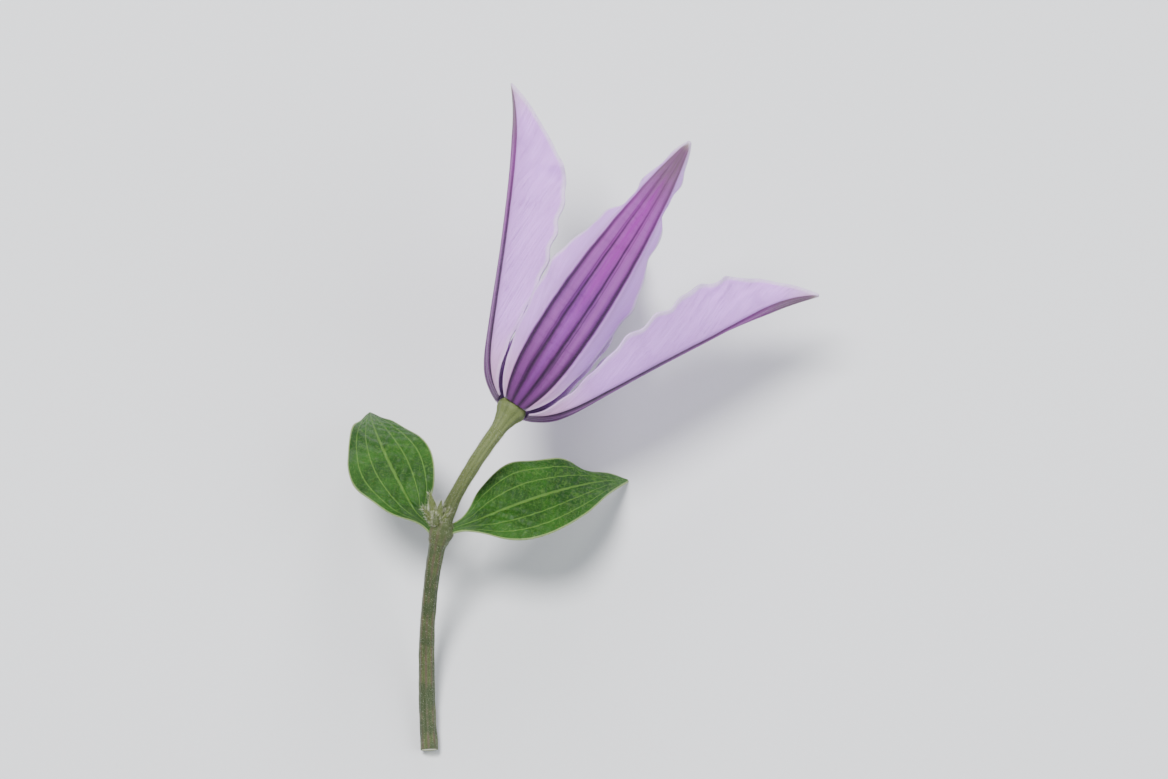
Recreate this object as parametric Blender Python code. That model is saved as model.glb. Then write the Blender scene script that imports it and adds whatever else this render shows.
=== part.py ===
"""A picked clematis flower of the nodding bell type, lying on a flat surface, in metres, +Z up.

The flower has its own frame, held by an empty at its base: +Z runs out of its mouth, and +X is the
side that lies uppermost. The head rests on its lowest tepal, the stalk slopes down to its cut end and
the tips of the two leaves touch the surface on either side. The origin is the middle of the whole
flower's footprint.
"""

import math

import bpy
import numpy as np
from mathutils import Matrix, Vector

MM = 0.001
GAP = 0.3 * MM

# How the head lies: the way its axis points, and how far it is rolled over.
HEADING = math.radians(32)
PITCH = math.radians(0.5)
ROLL = math.radians(12)

# Tepals. Stations are pairs: a fraction of the tepal's length, then the value there.
TEPAL_LENGTH = 66 * MM
TEPAL_FOOT_RADIUS = 3.45 * MM
TEPAL_LEANS = ((0, 68), (0.06, 47), (0.15, 31), (0.3, 27), (0.55, 28), (0.8, 32), (1, 46))
BAND_HALF_WIDTHS = ((0, 2.1), (0.1, 3.7), (0.33, 4.8), (0.55, 4.3), (0.75, 3.0), (0.9, 1.6), (1, 0.3))
WING_WIDTHS = (
    (0, 0.5), (0.05, 2.0), (0.1, 3.1), (0.17, 4.45), (0.25, 6.25),
    (0.42, 9.0), (0.6, 9.8), (0.74, 8.6), (0.9, 3.5), (1, 0.25),
)
WING_BENDS = ((0, 12), (0.1, 44), (0.25, 60), (0.45, 68), (0.6, 80), (0.75, 91), (0.9, 82), (1, 72))
BEND_START = 0.72
BEND_END = 1.5
BAND_THICKNESS = 1.0 * MM
MARGIN_THICKNESS = 0.5 * MM
TEPAL_ROWS = 22
TEPAL_COLUMNS = 13
# Name, turn about the flower's axis, length and spread against the usual ones, twists on the way out,
# widths of the two wings against the usual one.
TEPALS = (
    ("tepal_top", 0, 0.96, 1.0, ((0, 0), (0.35, 4), (0.6, 3), (0.75, -1), (1, 0)), (0.95, 1.0)),
    ("tepal_right", 90, 1.0, 0.98, ((0, 2), (0.35, 8), (0.75, 5), (1, -24)), (1.06, 0.88)),
    ("tepal_under", 180, 0.97, 0.82, ((0, 0), (0.5, 0), (1, 0)), (0.88, 0.88)),
    ("tepal_left", 270, 1.0, 0.92, ((0, -1), (0.35, -4), (0.7, -4), (1, 2)), (0.88, 1.12)),
)

# Receptacle: distance along the flower's axis from the tepals' feet, then radius.
RECEPTACLE_STATIONS = (
    (-5.0, 1.5),
    (-3.8, 1.7),
    (-2.2, 2.2),
    (-1.1, 2.8),
    (-0.5, 3.0),
    (0.3, 2.95),
    (1.1, 2.45),
    (2.2, 1.85),
    (3.2, 1.15),
    (3.5, 0.5),
)
RECEPTACLE_SIDES = 20

# Stamens: two rings on the receptacle's dome.
STAMEN_RINGS = (
    # name, how many, foot radius, foot height, tip radius, length
    ("stamen_outer", 18, 2.15, 2.15, 5.0, 17.0),
    ("stamen_inner", 14, 1.45, 3.15, 3.1, 15.0),
)
STAMEN_RADII = ((0, 0.17), (0.3, 0.2), (0.58, 0.22), (0.66, 0.4), (0.8, 0.44), (0.95, 0.34), (1, 0.12))
STAMEN_ROWS = 9
STAMEN_SIDES = 6

# Pistils: the bundle of styles in the middle.
PISTILS_FOOT = 3.8
PISTILS_LENGTH = 12.5
PISTILS_RADII = ((0, 0.45), (0.1, 0.85), (0.3, 1.1), (0.7, 1.0), (0.92, 0.8), (1, 0.35))
PISTILS_SIDES = 10

# Stalk. Along it: sideways and lengthways place from the flower's base, share of the base's height.
STALK_RADIUS = 1.5 * MM
STALK_X = ((0, -2.8), (0.12, -6.9), (0.38, -14.0), (0.6, -16.6), (0.8, -17.0), (1, -16.4))
STALK_Y = ((0, -4.5), (0.12, -10.4), (0.38, -22.0), (0.6, -35.0), (0.8, -47.8), (1, -60.5))
STALK_HEIGHTS = ((0, 1), (0.12, 0.96), (0.38, 0.66), (0.6, 0.32), (0.8, 0.08), (1, 0))
STALK_THICKNESSES = (
    (0, 1), (0.1, 0.93), (0.3, 0.95), (0.345, 1.06), (0.38, 1.45),
    (0.415, 1.1), (0.47, 1), (0.75, 1), (1, 1.1),
)
STALK_ROWS = 34
STALK_SIDES = 12
NODE_PLACE = 0.38

# Leaves.
LEAF_HALF_WIDTHS = ((0, 0.9), (0.06, 1.3), (0.2, 6.0), (0.38, 8.6), (0.6, 6.9), (0.82, 3.0), (1, 0.4))
LEAF_FOLD = math.radians(14)
LEAF_THICKNESS = 0.7 * MM
LEAF_EDGE_THICKNESS = 0.45 * MM
LEAF_ROWS = 17
LEAF_COLUMNS = 9
LEAVES = (
    # name, heading from +Y towards +X, length, pitch at the foot and at the tip, sideways curve
    ("leaf_left", -32, 39.0, 14, -46, 24),
    ("leaf_right", 68, 42.0, 14, -42, -14),
)

# Colours (linear), roughness.
FINISHES = {
    "tepal": ((0.62, 0.50, 0.76), 0.6),
    "stalk": ((0.13, 0.17, 0.06), 0.55),
    "leaf": ((0.06, 0.17, 0.04), 0.5),
    "stamen": ((0.55, 0.50, 0.24), 0.7),
    "pistils": ((0.62, 0.64, 0.48), 0.7),
}


def clear_scene():
    for thing in list(bpy.data.objects):
        bpy.data.objects.remove(thing, do_unlink=True)


def finish(name):
    """The material of one kind of piece, made when it is first asked for."""
    material = bpy.data.materials.get(name)
    if material:
        return material
    colour, roughness = FINISHES[name]
    material = bpy.data.materials.new(name)
    material.use_nodes = True
    shader = material.node_tree.nodes["Principled BSDF"]
    shader.inputs["Base Color"].default_value = (*colour, 1)
    shader.inputs["Roughness"].default_value = roughness
    shader.inputs["Metallic"].default_value = 0
    return material


def along(stations, places):
    """The values at some places on a smooth cubic curve through stations of place and value."""
    knots, values = np.array(stations, float).T
    slopes = np.gradient(values, knots)
    index = np.clip(np.searchsorted(knots, places, side="right") - 1, 0, len(knots) - 2)
    span = knots[index + 1] - knots[index]
    t = (places - knots[index]) / span
    return (
        values[index] * (1 + 2 * t) * (1 - t) ** 2
        + values[index + 1] * t**2 * (3 - 2 * t)
        + span * slopes[index] * t * (1 - t) ** 2
        - span * slopes[index + 1] * t**2 * (1 - t)
    )


def running_sum(values, steps, axis):
    """The integral of values along one axis of a grid, by the trapezium rule, from zero."""
    values = np.moveaxis(values, axis, 0)
    steps = np.moveaxis(steps, axis, 0)
    total = np.zeros_like(values)
    total[1:] = np.cumsum((values[1:] + values[:-1]) / 2 * steps, axis=0)
    return np.moveaxis(total, 0, axis)


def smooth_step(t):
    t = np.clip(t, 0, 1)
    return t * t * (3 - 2 * t)


def unit(vectors):
    return vectors / np.linalg.norm(vectors, axis=-1, keepdims=True)


def add_piece(name, points, faces, kind, parent=None, turn=0.0):
    """A closed mesh object with its faces outwards, under a parent and turned about its +Z."""
    mesh = bpy.data.meshes.new(name)
    mesh.from_pydata(points.tolist(), [], faces)
    mesh.shade_smooth()
    mesh.set_sharp_from_angle(angle=math.radians(50))
    mesh.materials.append(finish(kind))
    piece = bpy.data.objects.new(name, mesh)
    piece.parent = parent
    piece.rotation_euler = (0, 0, turn)
    bpy.context.scene.collection.objects.link(piece)
    return piece


def blade(outer, inner):
    """Points and faces of the closed solid between two grids of rows and columns."""
    rows, columns = outer.shape[:2]
    number = np.arange(rows * columns).reshape(rows, columns)
    far = number + rows * columns
    skin = np.stack((number[:-1, :-1], number[:-1, 1:], number[1:, 1:], number[1:, :-1]), -1)
    faces = [tuple(face) for face in skin.reshape(-1, 4).tolist()]
    faces += [tuple(face[::-1]) for face in (skin + rows * columns).reshape(-1, 4).tolist()]
    rim = np.concatenate((number[0], number[1:, -1], number[-1, -2::-1], number[-2:0:-1, 0]))
    across = np.concatenate((far[0], far[1:, -1], far[-1, -2::-1], far[-2:0:-1, 0]))
    edge = np.stack((np.roll(rim, -1), rim, across, np.roll(across, -1)), -1)
    faces += [tuple(face) for face in edge.tolist()]
    return np.concatenate((outer.reshape(-1, 3), inner.reshape(-1, 3))), faces


def tube(path, radii, sides, upright):
    """Points and faces of a closed round bar: a ring of the given radius square to each path point."""
    tangent = unit(np.gradient(path, axis=0))
    side = unit(np.cross(tangent, np.broadcast_to(upright, path.shape)))
    top = np.cross(side, tangent)
    angle = np.arange(sides) * 2 * math.pi / sides
    ring = side[:, None] * np.cos(angle)[:, None] + top[:, None] * np.sin(angle)[:, None]
    points = path[:, None] + ring * radii[:, None, None]
    number = np.arange(len(path) * sides).reshape(len(path), sides)
    following = np.roll(number, -1, axis=1)
    skin = np.stack((number[:-1], following[:-1], following[1:], number[1:]), -1)
    faces = [tuple(face[::-1]) for face in skin.reshape(-1, 4).tolist()]
    faces.append(tuple(number[0].tolist()))
    faces.append(tuple(number[-1][::-1].tolist()))
    return points.reshape(-1, 3), faces


def tepal(share, spread, twists, wings):
    """A tepal in the flower's frame, on its +X side: a band with a wing bent in along each edge.

    The midrib leans away from the flower's axis by an angle set along its length. Across it, the
    surface turns inwards by the wing's bend, mostly where the band ends and the wing begins.
    """
    s = np.linspace(0, 1, TEPAL_ROWS)
    fine = np.linspace(0, 1, 8 * TEPAL_ROWS)
    fine_lean = np.radians(along(TEPAL_LEANS, fine)) * (1 + (spread - 1) * smooth_step(fine * 5))
    step = np.full(len(fine) - 1, TEPAL_LENGTH * share / (len(fine) - 1))
    out = np.interp(s, fine, TEPAL_FOOT_RADIUS + running_sum(np.sin(fine_lean), step, 0))
    rise = np.interp(s, fine, running_sum(np.cos(fine_lean), step, 0))
    lean = np.interp(s, fine, fine_lean)[:, None]

    band = along(BAND_HALF_WIDTHS, s)[:, None] * MM
    v = np.linspace(-1, 1, TEPAL_COLUMNS)[None, :]
    half = band + along(WING_WIDTHS, s)[:, None] * np.where(v < 0, *wings) * MM
    bend = np.radians(along(WING_BENDS, s))[:, None]
    turn = bend * smooth_step((np.abs(v) * half / band - BEND_START) / (BEND_END - BEND_START))
    steps = (half[:, 1:] + half[:, :-1]) / 2 * (v[0, 1] - v[0, 0])
    middle = TEPAL_COLUMNS // 2
    across = running_sum(np.cos(turn), steps, 1)
    depth = running_sum(np.sin(turn) * np.sign(v), steps, 1)
    across = across - across[:, middle : middle + 1]
    depth = depth - depth[:, middle : middle + 1]

    roll = np.radians(along(twists, s))[:, None]
    turned_across = across * np.cos(roll) - depth * np.sin(roll)
    turned_depth = across * np.sin(roll) + depth * np.cos(roll)
    facing = turn * np.sign(v) + roll
    outwards, sideways = np.cos(facing), np.sin(facing)

    def placed(a, d):
        """From places across and into the tepal to the flower's frame."""
        x = out[:, None] - d * np.cos(lean)
        z = rise[:, None] + d * np.sin(lean)
        return np.stack((x, a, z), -1)

    thickness = MARGIN_THICKNESS + (BAND_THICKNESS - MARGIN_THICKNESS) * (1 - np.abs(v) ** 1.5)
    outer = placed(turned_across, turned_depth)
    inner = placed(turned_across - thickness * sideways, turned_depth + thickness * outwards)
    return blade(outer, inner)


def receptacle():
    """The stalk's swollen end: a trumpet below the tepals, and a dome inside them."""
    heights, radii = np.array(RECEPTACLE_STATIONS).T * MM
    path = np.stack((0 * heights, 0 * heights, heights), -1)
    return tube(path, radii, RECEPTACLE_SIDES, (1, 0, 0))


def stamen(foot_radius, foot_height, tip_radius, length):
    """A stamen on the +X side: it leaves the dome sloping out, then runs on almost along the axis."""
    s = np.linspace(0, 1, STAMEN_ROWS)
    out = foot_radius + (tip_radius - foot_radius) * (1 - (1 - s) ** 2)
    path = np.stack((out, 0 * s, foot_height + length * s), -1) * MM
    return tube(path, along(STAMEN_RADII, s) * MM, STAMEN_SIDES, (0, 1, 0))


def pistils():
    """The bundle of styles, as one tapering solid on the flower's axis."""
    s = np.linspace(0, 1, 11)
    path = np.stack((0 * s, 0 * s, PISTILS_FOOT + PISTILS_LENGTH * s), -1) * MM
    return tube(path, along(PISTILS_RADII, s) * MM, PISTILS_SIDES, (1, 0, 0))


def add_flower(base):
    for name, turn, *shape in TEPALS:
        points, faces = tepal(*shape)
        add_piece(name, points, faces, "tepal", base, math.radians(turn))
    points, faces = receptacle()
    add_piece("receptacle", points, faces, "stalk", base)
    for ring, (name, count, *shape) in enumerate(STAMEN_RINGS):
        points, faces = stamen(*shape)
        for k in range(count):
            turn = 2 * math.pi * (k + 0.5 * ring) / count
            add_piece(f"{name}_{k + 1:02d}", points, faces, "stamen", base, turn)
    points, faces = pistils()
    add_piece("pistils", points, faces, "pistils", base)


def lay_head(base):
    """Point the flower's axis along its heading, roll it, and lower it until its lowest tepal touches."""
    axis = Vector(
        (
            math.sin(HEADING) * math.cos(PITCH),
            math.cos(HEADING) * math.cos(PITCH),
            math.sin(PITCH),
        )
    )
    level = axis.cross(Vector((0, 0, 1))).normalized()
    top = level.cross(axis)
    top = Matrix.Rotation(ROLL, 3, axis) @ top
    side = axis.cross(top)
    base.matrix_world = Matrix((top, side, axis)).transposed().to_4x4()
    bpy.context.view_layer.update()
    base.location.z = -lowest(bpy.data.objects["tepal_under"])
    bpy.context.view_layer.update()


def lowest(piece):
    return min((piece.matrix_world @ vertex.co).z for vertex in piece.data.vertices)


def stalk_path(height, places):
    """Points along the stalk, from the foot of the receptacle at the given height to the cut end."""
    x = along(STALK_X, places) * MM
    y = along(STALK_Y, places) * MM
    rest = STALK_RADIUS * STALK_THICKNESSES[-1][1]
    z = rest + (height - rest) * along(STALK_HEIGHTS, places)
    return np.stack((x, y, z), -1)


def add_stalk(height):
    s = np.linspace(0, 1, STALK_ROWS)
    radii = STALK_RADIUS * along(STALK_THICKNESSES, s)
    points, faces = tube(stalk_path(height, s), radii, STALK_SIDES, (0, 0, 1))
    add_piece("flower_stalk", points, faces, "stalk")


def leaf(start, heading, length, pitch_foot, pitch_tip, curve):
    """A leaf folded a little along its midrib, arching from its foot to a tip on the surface."""
    s = np.linspace(0, 1, LEAF_ROWS)
    pitch = np.radians(pitch_foot + (pitch_tip - pitch_foot) * s)
    course = np.radians(heading + curve * s)
    step = np.full(LEAF_ROWS - 1, length * MM / (LEAF_ROWS - 1))
    direction = np.stack(
        (np.sin(course) * np.cos(pitch), np.cos(course) * np.cos(pitch), np.sin(pitch)), -1
    )
    midrib = start + running_sum(direction, step[:, None], 0)
    sideways = np.stack((np.cos(course), -np.sin(course), 0 * s), -1)
    upwards = np.cross(sideways, direction)

    v = np.linspace(-1, 1, LEAF_COLUMNS)
    half = (along(LEAF_HALF_WIDTHS, s) * MM)[:, None]
    across = v * half * math.cos(LEAF_FOLD)
    lift = np.abs(v) * half * math.sin(LEAF_FOLD) * (1 - 0.55 * np.abs(v))
    under = midrib[:, None] + across[..., None] * sideways[:, None] + lift[..., None] * upwards[:, None]
    under[..., 2] -= under[..., 2].min() * s[:, None] ** 2
    thickness = LEAF_EDGE_THICKNESS + (LEAF_THICKNESS - LEAF_EDGE_THICKNESS) * (1 - v**2)
    upper = under + (thickness * np.ones_like(half))[..., None] * upwards[:, None]
    return blade(upper, under)


def add_leaves(height):
    """The two leaves, one on each side of the stalk's swelling, their near foot corners a gap clear of it."""
    node = stalk_path(height, np.array([NODE_PLACE]))[0]
    swelling = STALK_RADIUS * max(width for place, width in STALK_THICKNESSES)
    foot = LEAF_HALF_WIDTHS[0][1] * MM
    for name, heading, *shape in LEAVES:
        clear = swelling + GAP + foot * math.cos(math.radians(heading))
        away = np.array((math.copysign(clear, heading), 0, 0))
        points, faces = leaf(node + away, heading, *shape)
        add_piece(name, points, faces, "leaf")


def centre_on_origin(base):
    """Shift everything sideways so that the origin is the middle of the footprint."""
    bpy.context.view_layer.update()
    pieces = [thing for thing in bpy.data.objects if thing.type == "MESH"]
    corners = np.array([piece.matrix_world @ vertex.co for piece in pieces for vertex in piece.data.vertices])
    middle = (corners.min(axis=0) + corners.max(axis=0)) / 2
    shift = Vector((-middle[0], -middle[1], 0))
    for thing in [base, *pieces]:
        if thing.parent is None:
            thing.location += shift


def main():
    clear_scene()
    base = bpy.data.objects.new("flower_base", None)
    bpy.context.scene.collection.objects.link(base)
    add_flower(base)
    lay_head(base)
    add_stalk(base.location.z)
    add_leaves(base.location.z)
    centre_on_origin(base)


main()
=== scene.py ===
"""A picked clematis flower of the nodding bell type, lying on a pale floor, in metres, +Z up.

The flower has its own frame: +Z runs out of its mouth, +X is the side that lies uppermost, and the
origin is where the tepals join the receptacle. Every surface is a function of two parameters, worked
out on a grid. Stations are pairs: a fraction of a length, then the value there, joined by a smooth curve.
"""

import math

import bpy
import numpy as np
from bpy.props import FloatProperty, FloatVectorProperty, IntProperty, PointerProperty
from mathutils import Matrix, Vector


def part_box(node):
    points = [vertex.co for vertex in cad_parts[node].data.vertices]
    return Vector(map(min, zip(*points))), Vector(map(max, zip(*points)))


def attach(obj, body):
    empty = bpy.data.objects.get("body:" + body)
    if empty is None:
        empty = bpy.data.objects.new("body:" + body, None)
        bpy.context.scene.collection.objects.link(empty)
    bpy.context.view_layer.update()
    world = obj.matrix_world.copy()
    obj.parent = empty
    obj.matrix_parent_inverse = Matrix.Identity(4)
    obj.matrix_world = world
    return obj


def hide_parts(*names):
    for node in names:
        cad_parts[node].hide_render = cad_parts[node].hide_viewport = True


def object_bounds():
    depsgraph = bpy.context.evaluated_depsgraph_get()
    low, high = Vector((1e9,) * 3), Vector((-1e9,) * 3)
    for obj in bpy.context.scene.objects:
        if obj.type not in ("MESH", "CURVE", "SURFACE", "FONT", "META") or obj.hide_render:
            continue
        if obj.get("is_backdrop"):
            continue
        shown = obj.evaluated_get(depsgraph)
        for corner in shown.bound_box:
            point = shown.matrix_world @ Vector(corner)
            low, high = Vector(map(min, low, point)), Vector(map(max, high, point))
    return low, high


bl_info = {
    "name": "Picked Clematis Flower",
    "version": (1, 0, 0),
    "blender": (4, 5, 0),
    "location": "View3D > Sidebar > Clematis",
    "description": "Builds the tepals, stamens, styles, stalk and leaves of a picked clematis flower",
    "category": "Add Mesh",
}

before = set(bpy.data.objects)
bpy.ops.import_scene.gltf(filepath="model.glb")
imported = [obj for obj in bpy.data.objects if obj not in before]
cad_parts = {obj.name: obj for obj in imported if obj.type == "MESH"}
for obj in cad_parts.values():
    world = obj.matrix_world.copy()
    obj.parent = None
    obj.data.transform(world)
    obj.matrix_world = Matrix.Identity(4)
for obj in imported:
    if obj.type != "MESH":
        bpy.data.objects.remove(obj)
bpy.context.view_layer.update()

MM = 0.001
BODY = "root"
FLOOR_CLEARANCE = 0.05 * MM

# How the head lies: the way its axis points, and how far it is rolled over.
HEADING = math.radians(32)
PITCH = math.radians(0.5)
ROLL = math.radians(12)

# Tepals.
TEPAL_FOOT_RADIUS = 3.45 * MM
TEPAL_LEANS = ((0, 68), (0.06, 47), (0.15, 31), (0.3, 27), (0.55, 28), (0.8, 32), (1, 46))
BAND_HALF_WIDTHS = ((0, 2.1), (0.1, 3.7), (0.33, 4.8), (0.55, 4.3), (0.75, 3.0), (0.9, 1.6), (1, 0.3))
WING_WIDTHS = (
    (0, 0.5), (0.05, 2.0), (0.1, 3.1), (0.17, 4.45), (0.25, 6.25),
    (0.42, 9.0), (0.6, 9.8), (0.74, 8.6), (0.9, 3.5), (1, 0.25),
)
WING_BENDS = ((0, 12), (0.1, 44), (0.25, 60), (0.45, 68), (0.6, 80), (0.75, 91), (0.9, 82), (1, 72))
BEND_START = 0.72
BEND_END = 1.5
EDGE_FLARE = math.radians(14)
CRINKLE_PLACE = 0.71
# Piece, CAD node, turn about the axis, length and spread against the usual ones, twists on the way
# out, widths of the two wings against the usual one.
TEPALS = (
    ("top_tepal", "tepal_top", 0, 0.96, 1.0, ((0, 0), (0.35, 4), (0.6, 3), (0.75, -1), (1, 0)), (0.95, 1.0)),
    ("right_tepal", "tepal_right", 90, 1.0, 0.98, ((0, 2), (0.35, 8), (0.75, 5), (1, -24)), (1.06, 0.88)),
    ("under_tepal", "tepal_under", 180, 0.97, 0.82, ((0, 0), (0.5, 0), (1, 0)), (0.88, 0.88)),
    ("left_tepal", "tepal_left", 270, 1.0, 0.92, ((0, -1), (0.35, -4), (0.7, -4), (1, 2)), (0.88, 1.12)),
)

# Receptacle: distance along the flower's axis, then radius. The part itself starts at its foot, and
# here the first stretch runs on into the stalk.
RECEPTACLE_STATIONS = (
    (-6.0, 1.4), (-5.0, 1.5), (-3.8, 1.7), (-2.2, 2.2), (-1.1, 2.8), (-0.5, 3.0),
    (0.3, 2.95), (1.1, 2.45), (2.2, 1.85), (3.2, 1.15), (3.5, 0.5),
)
RECEPTACLE_FOOT = -5.0 * MM
RECEPTACLE_GRID = (90, 72)

# Stamens: piece, how many, foot radius, foot height, tip radius, length.
STAMEN_RINGS = (
    ("outer_stamen", "stamen_outer", 18, 2.15, 2.05, 5.0, 17.0),
    ("inner_stamen", "stamen_inner", 14, 1.45, 3.0, 3.1, 15.0),
)
STAMEN_HALF_WIDTHS = ((0, 0.26), (0.3, 0.3), (0.54, 0.24), (0.62, 0.44), (0.78, 0.5), (0.93, 0.38), (1, 0.1))
STAMEN_HALF_DEPTHS = ((0, 0.16), (0.3, 0.13), (0.54, 0.13), (0.62, 0.28), (0.78, 0.33), (0.93, 0.24), (1, 0.06))
STAMEN_GRID = (44, 14)
STAMEN_HAIRS = 34
STAMEN_HAIR_RADIUS = 0.022 * MM

# Styles: each turns from the last by the golden angle.
GOLDEN_ANGLE = math.radians(137.5)
STYLE_GRID = (26, 7)
STYLE_HAIRS = 44
SILK_RADIUS = 0.02 * MM

# Stalk: sideways and lengthways place from the flower's base, share of the base's height, thickness.
STALK_RADIUS = 1.5 * MM
STALK_X = ((0, -2.8), (0.12, -6.9), (0.38, -14.0), (0.6, -16.6), (0.8, -17.0), (1, -16.4))
STALK_Y = ((0, -4.5), (0.12, -10.4), (0.38, -22.0), (0.6, -35.0), (0.8, -47.8), (1, -60.5))
STALK_HEIGHTS = ((0, 1), (0.12, 0.96), (0.38, 0.66), (0.6, 0.32), (0.8, 0.08), (1, 0))
STALK_THICKNESSES = (
    (0, 1), (0.1, 0.93), (0.3, 0.95), (0.345, 1.06), (0.38, 1.45),
    (0.415, 1.1), (0.47, 1), (0.75, 1), (1, 1.1),
)
NODE_PLACE = 0.38
STALK_RIBS = 8
DOWN_HAIRS = 3600
DOWN_RADIUS = 0.017 * MM

# Bud at the node: its foot from the stalk's middle, and its young leaves in millimetres and degrees.
BUD_PLACE = (-0.7, 0.5, 1.4)
BUD_LOBES = (
    # heading from +Y towards +X, pitch, length, width
    (-14, 34, 6.8, 1.7),
    (14, 48, 5.6, 1.5),
    (-46, 40, 5.2, 1.4),
    (44, 36, 4.6, 1.2),
    (-20, 72, 4.2, 1.3),
)
BUD_GRID = (24, 16)
BUD_HAIRS = 170

# Leaves: piece, CAD node, heading from +Y towards +X, length, pitch at foot and tip, sideways curve.
LEAF_HALF_WIDTHS = ((0, 0.9), (0.06, 1.3), (0.2, 6.0), (0.38, 8.6), (0.6, 6.9), (0.82, 3.0), (1, 0.4))
LEAF_FOLD = math.radians(14)
LEAVES = (
    ("left_leaf", "leaf_left", -32, 39.0, 14, -46, 24),
    ("right_leaf", "leaf_right", 68, 42.0, 14, -42, -14),
)
LEAF_SIDE_VEINS = (0.4, 0.72)
LEAF_FOOT_REACH = 1.3 * MM

# Stage. The frame's height as a share of its width, and the lights: place, width, power, colour.
FRAME_SHAPE = 779 / 1168
FLOOR_REACH = 4.0
LIGHTS = (
    ("key", (-0.30, 0.12, 1.1), 0.42, 20, (1.0, 0.99, 0.985)),
    ("fill", (0.8, -0.25, 0.7), 0.9, 8, (0.94, 0.97, 1.0)),
    ("back", (0.25, 0.95, 0.5), 0.5, 6, (1.0, 1.0, 1.0)),
)
WORLD_TINT = (0.86, 0.9, 0.95, 1)
WORLD_STRENGTH = 0.38
CAMERA_CLIP = (0.01, 30)


# ---------------------------------------------------------------- settings


def size(name, millimetres, words):
    """A length setting, given in millimetres."""
    return FloatProperty(name=name, description=words, default=millimetres * MM, unit="LENGTH", precision=5)


def tint(name, value, words):
    """A colour setting."""
    return FloatVectorProperty(
        name=name, description=words, default=value, size=3, subtype="COLOR", min=0, max=1
    )


class TepalSettings(bpy.types.PropertyGroup):
    length: size("Length", 66, "Length of a tepal along its midrib")
    band_thickness: size("Band thickness", 0.85, "Thickness of the fleshy band down the middle")
    margin_thickness: size("Margin thickness", 0.34, "Thickness at the edge of a wing")
    rib_height: size("Rib height", 0.38, "How far the three ribs stand out of the band")
    ripple: size("Ripple", 1.0, "How far the wings' edges wave")
    rows: IntProperty(name="Rows", description="Grid rows along a tepal", default=230)
    columns: IntProperty(name="Columns", description="Grid columns across a tepal", default=111)
    wing: tint("Wing", (0.70, 0.30, 1.0), "Outside of the thin wings")
    wing_shade: tint("Wing by the band", (0.50, 0.20, 0.68), "Outside of the wings next to the band")
    foot: tint("Wing at the foot", (0.62, 0.36, 0.50), "Pink flush at the foot of the wings")
    margin: tint("Margin", (0.82, 0.68, 0.95), "Felted edge of the wings")
    band_base: tint("Band at the base", (0.085, 0.014, 0.10), "Band near the receptacle")
    band_middle: tint("Band in the middle", (0.15, 0.025, 0.21), "Band half way along")
    band_bright: tint("Band towards the tip", (0.27, 0.04, 0.30), "Brightest stretch of the band")
    band_tip: tint("Tip", (0.15, 0.085, 0.13), "Dusky end of the band")
    point: tint("Point", (0.42, 0.36, 0.26), "Pale tan point of the tepal")
    rib_tint: tint("Ribs", (0.29, 0.075, 0.34), "Crests of the two outer ribs")
    heart_tint: tint("Middle rib", (0.31, 0.06, 0.42), "Crest of the middle rib")
    heart_bright: tint("Middle rib, bright", (0.30, 0.02, 0.34), "Vivid stretch of the middle rib")
    # Painted shade over the grooves' own darker purple: near-black lines in the grooves between the band's ribs
    # and along its edge outside; inside, the fine lines by the midrib.
    groove: tint("Grooves", (0.016, 0.003, 0.024), "Lines between the ribs")
    inside_middle: tint("Inside, middle", (0.31, 0.085, 0.45), "Inner face along the midrib")
    # Painted shade: near-black purple laid over the inner face deep in the bell, where shade falls.
    painted_throat_shade: tint("Throat", (0.05, 0.012, 0.085), "Inner face deep in the bell")
    inside_wing: tint("Inside, wing", (0.52, 0.22, 0.74), "Inner face of the wings")


class CentreSettings(bpy.types.PropertyGroup):
    filament: tint("Filament", (0.62, 0.66, 0.42), "Stamen stalks")
    anther: tint("Anther", (0.58, 0.46, 0.16), "Pollen sacs")
    anther_shade: tint("Anther shade", (0.33, 0.24, 0.09), "Grooves of the pollen sacs")
    style: tint("Style", (0.60, 0.64, 0.44), "Styles in the middle")
    silk: tint("Silk", (0.80, 0.80, 0.74), "Silky hairs of the centre")
    styles: IntProperty(name="Styles", description="Number of styles", default=26)


class StalkSettings(bpy.types.PropertyGroup):
    pale: tint("Pale green", (0.10, 0.13, 0.032), "Top of the stalk and the receptacle")
    dark: tint("Dark green", (0.017, 0.034, 0.005), "Lower stalk")
    flush: tint("Flush", (0.07, 0.025, 0.03), "Purple brown flush on the ribs of the stalk")
    pith: tint("Pith", (0.66, 0.68, 0.46), "Middle of the cut end")
    bud_silk: tint("Bud silk", (0.60, 0.62, 0.42), "Silky hairs on the young leaves at the node")
    down: tint("Down", (0.34, 0.37, 0.23), "Short hairs on the stalk")
    rows: IntProperty(name="Rows", description="Grid rows along the stalk", default=420)
    columns: IntProperty(name="Columns", description="Grid columns round the stalk", default=72)


class LeafSettings(bpy.types.PropertyGroup):
    thickness: size("Thickness", 0.6, "Thickness along the midrib")
    edge_thickness: size("Edge thickness", 0.32, "Thickness at the edge")
    rows: IntProperty(name="Rows", description="Grid rows along a leaf", default=190)
    columns: IntProperty(name="Columns", description="Grid columns across a leaf", default=101)
    upper: tint("Upper side", (0.008, 0.045, 0.003), "Upper side of a leaf")
    upper_light: tint("Upper side, light", (0.021, 0.092, 0.005), "Lighter patches of the upper side")
    vein: tint("Veins", (0.10, 0.21, 0.035), "Veins on the upper side")
    margin: tint("Margin", (0.32, 0.42, 0.17), "Pale line round the edge")
    under: tint("Under side", (0.085, 0.17, 0.055), "Under side of a leaf")


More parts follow.
